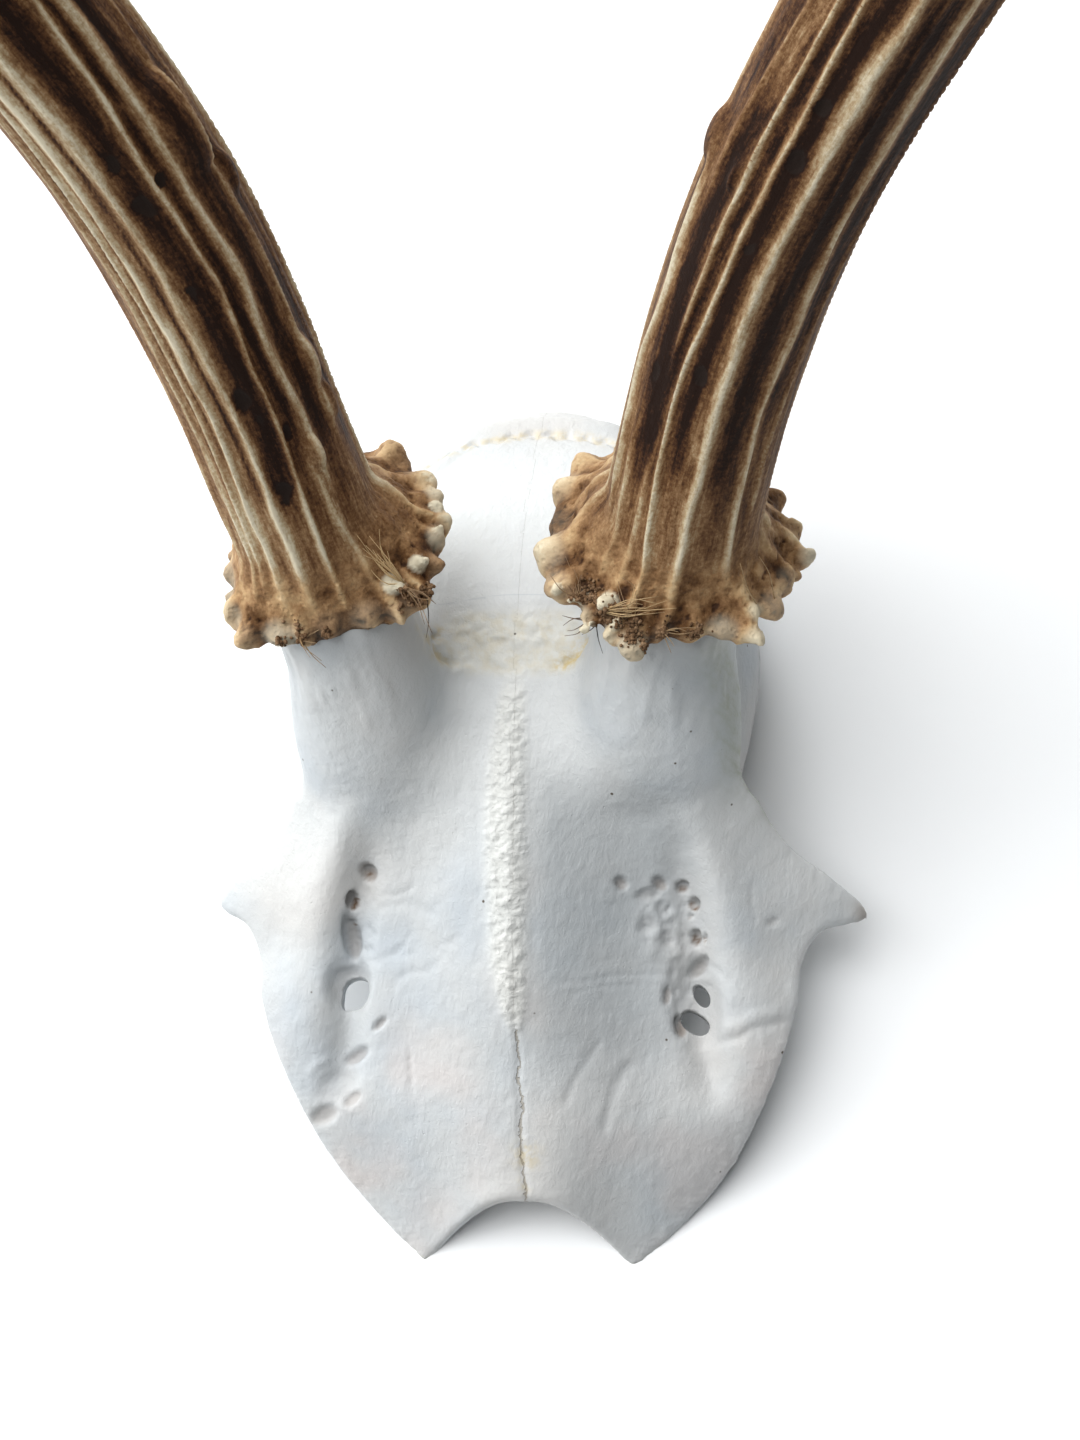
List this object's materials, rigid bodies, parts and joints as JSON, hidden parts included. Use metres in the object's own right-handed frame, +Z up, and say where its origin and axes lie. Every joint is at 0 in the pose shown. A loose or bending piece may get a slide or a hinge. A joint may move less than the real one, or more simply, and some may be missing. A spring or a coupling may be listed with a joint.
{
  "type": "roe deer skull cap with antlers",
  "caption": "Sawn-off skull cap of a roe buck with pearled antlers: white frontal bones, pedicles and braincase vault under brown, grooved, forked antlers with knobbly coronets",
  "frame": {"origin": "centre of the footprint of the whole model's box, on the plane of the sawn underside", "axes": "+Z up, out of the sawn underside; -Y towards the nose end, +Y towards the nape; +X towards the animal's left"},
  "size_m": [0.156, 0.165, 0.2231],
  "materials": {
    "skull_bone": "matte bleached bone, white with a faint blue-grey and pink cast, finely pitted",
    "coronet": "matte tan-brown antler, ribbed and pearled, with ivory-white pearl tips and dirt in the hollows",
    "antler": "satin antler, dark brown in the furrows and polished ivory on the long ridges and the points"
  },
  "bodies": {
    "root": {"frontal_left": "skull_bone", "frontal_right": "skull_bone", "pedicle_left": "skull_bone", "pedicle_right": "skull_bone", "parietal": "skull_bone", "occipital": "skull_bone", "coronet_left": "coronet", "coronet_right": "coronet", "beam_lower_left": "antler", "beam_lower_right": "antler", "beam_upper_left": "antler", "beam_upper_right": "antler", "front_tine_left": "antler", "front_tine_right": "antler", "rear_tine_left": "antler", "rear_tine_right": "antler", "top_tine_left": "antler", "top_tine_right": "antler"}
  },
  "joints": []
}
